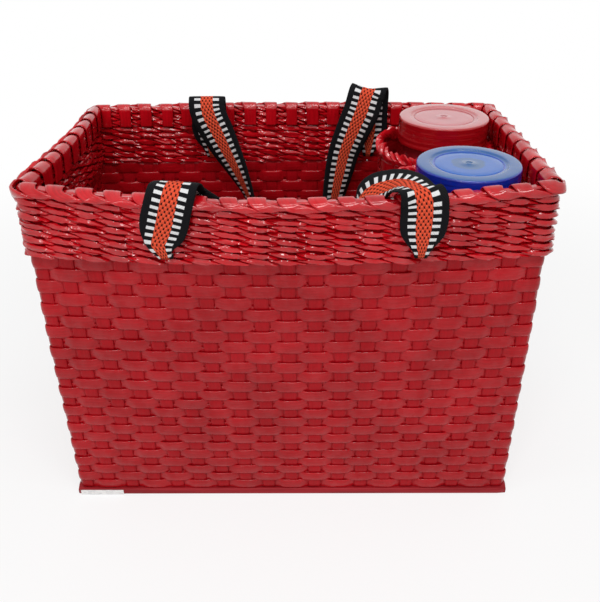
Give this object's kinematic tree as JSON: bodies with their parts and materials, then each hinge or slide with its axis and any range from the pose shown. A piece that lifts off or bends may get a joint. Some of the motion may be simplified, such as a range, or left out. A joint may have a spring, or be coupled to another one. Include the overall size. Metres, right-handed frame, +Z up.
{
  "type": "lunch basket",
  "caption": "Tall rectangular woven basket with a twined rim band, webbing loop handles and tubular bottle holders with screw-top bottles.",
  "frame": {"origin": "on the floor, at the middle of the base board's underside", "axes": "+X along the basket's length to the bottle end, +Y from the front wall to the back wall, +Z up"},
  "size_m": [0.374, 0.2296, 0.2961],
  "materials": {
    "lacquered_weave": "glossy red lacquer on flat cane strips",
    "lacquered_twine": "glossy red lacquer on twisted strips",
    "lacquered_board": "red lacquer on board",
    "webbing": "black webbing with a woven orange, black and white pattern",
    "blue_plastic": "translucent blue moulded plastic",
    "red_plastic": "translucent red moulded plastic",
    "liner_foam": "matte off-white sealing foam",
    "white_paper": "matte blank paper"
  },
  "bodies": {
    "basket": {"base_board": "lacquered_board", "woven_wall": "lacquered_weave", "band_course_01_outer": "lacquered_twine", "band_course_01_inner": "lacquered_twine", "band_course_02_outer": "lacquered_twine", "band_course_02_inner": "lacquered_twine", "band_course_03_outer": "lacquered_twine", "band_course_03_inner": "lacquered_twine", "band_course_04_outer": "lacquered_twine", "band_course_04_inner": "lacquered_twine", "band_course_05_outer": "lacquered_twine", "band_course_05_inner": "lacquered_twine", "band_course_06_outer": "lacquered_twine", "band_course_06_inner": "lacquered_twine", "band_course_07_outer": "lacquered_twine", "band_course_07_inner": "lacquered_twine", "band_course_08_outer": "lacquered_twine", "band_course_08_inner": "lacquered_twine", "band_course_09_outer": "lacquered_twine", "band_course_09_inner": "lacquered_twine", "rim_border": "lacquered_weave", "front_holder_tube": "lacquered_weave", "back_holder_tube": "lacquered_weave", "front_holder_rim": "lacquered_twine", "back_holder_rim": "lacquered_twine", "holder_tie": "lacquered_twine", "front_handle_left_leg": "webbing", "front_handle_left_end": "webbing", "front_handle_right_leg": "webbing", "front_handle_right_end": "webbing", "back_handle_left_leg": "webbing", "back_handle_left_end": "webbing", "back_handle_right_leg": "webbing", "back_handle_right_end": "webbing", "paper_label": "white_paper"},
    "front_handle": {"front_handle_loop": "webbing"},
    "back_handle": {"back_handle_loop": "webbing"},
    "front_bottle": {"front_bottle": "blue_plastic"},
    "front_lid_liner": {"front_lid_liner": "liner_foam"},
    "front_lid": {"front_lid": "blue_plastic"},
    "back_bottle": {"back_bottle": "red_plastic"},
    "back_lid_liner": {"back_lid_liner": "liner_foam"},
    "back_lid": {"back_lid": "red_plastic"}
  },
  "joints": [
    {"name": "front_handle_swing", "type": "hinge", "parent": "basket", "child": "front_handle", "pos_m": [0, -0.1058, 0.286], "axis": [1, 0, 0], "range_deg": [0, 150]},
    {"name": "back_handle_swing", "type": "hinge", "parent": "basket", "child": "back_handle", "pos_m": [0, 0.0863, 0.29], "axis": [-1, 0, 0], "range_deg": [0, 150]},
    {"name": "front_bottle_lift", "type": "slide", "parent": "basket", "child": "front_bottle", "axis": [0, 0, 1], "range_m": [0, 0.28]},
    {"name": "front_lid_rise", "type": "slide", "parent": "front_bottle", "child": "front_lid_liner", "axis": [0, 0, 1], "range_m": [0, 0.0075]},
    {"name": "front_lid_turn", "type": "hinge", "parent": "front_lid_liner", "child": "front_lid", "pos_m": [0.13002, -0.05475, 0.27], "axis": [0, 0, 1], "range_deg": [0, 540]},
    {"name": "back_bottle_lift", "type": "slide", "parent": "basket", "child": "back_bottle", "axis": [0, 0, 1], "range_m": [0, 0.28]},
    {"name": "back_lid_rise", "type": "slide", "parent": "back_bottle", "child": "back_lid_liner", "axis": [0, 0, 1], "range_m": [0, 0.0075]},
    {"name": "back_lid_turn", "type": "hinge", "parent": "back_lid_liner", "child": "back_lid", "pos_m": [0.13002, 0.05145, 0.27], "axis": [0, 0, 1], "range_deg": [0, 540]}
  ],
  "couplings": [
    {"joint": "front_lid_rise", "follows": "front_lid_turn", "m_per_rad": 0.00079577},
    {"joint": "back_lid_rise", "follows": "back_lid_turn", "m_per_rad": 0.00079577}
  ]
}
